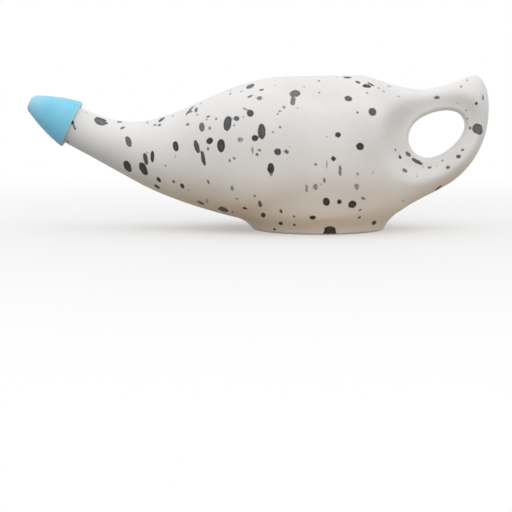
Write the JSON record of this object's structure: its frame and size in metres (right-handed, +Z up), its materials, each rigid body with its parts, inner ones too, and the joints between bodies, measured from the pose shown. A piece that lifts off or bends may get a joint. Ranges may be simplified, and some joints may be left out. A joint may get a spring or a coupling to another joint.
{
  "type": "neti pot",
  "caption": "Glazed one-piece nasal rinse pot with long upturned spout, open top, looped handle and soft push-on nose tip.",
  "frame": {"origin": "middle of the round foot, on the surface the pot stands on", "axes": "+X towards the handle, -X towards the spout, +Z up; the pot is symmetric about the plane Y = 0"},
  "size_m": [0.2, 0.0802, 0.0665],
  "materials": {
    "glaze": "satin off-white glaze with dark speckle",
    "silicone": "matte light blue silicone"
  },
  "bodies": {
    "root": {"pot": "glaze", "nose_tip": "silicone"}
  },
  "joints": []
}
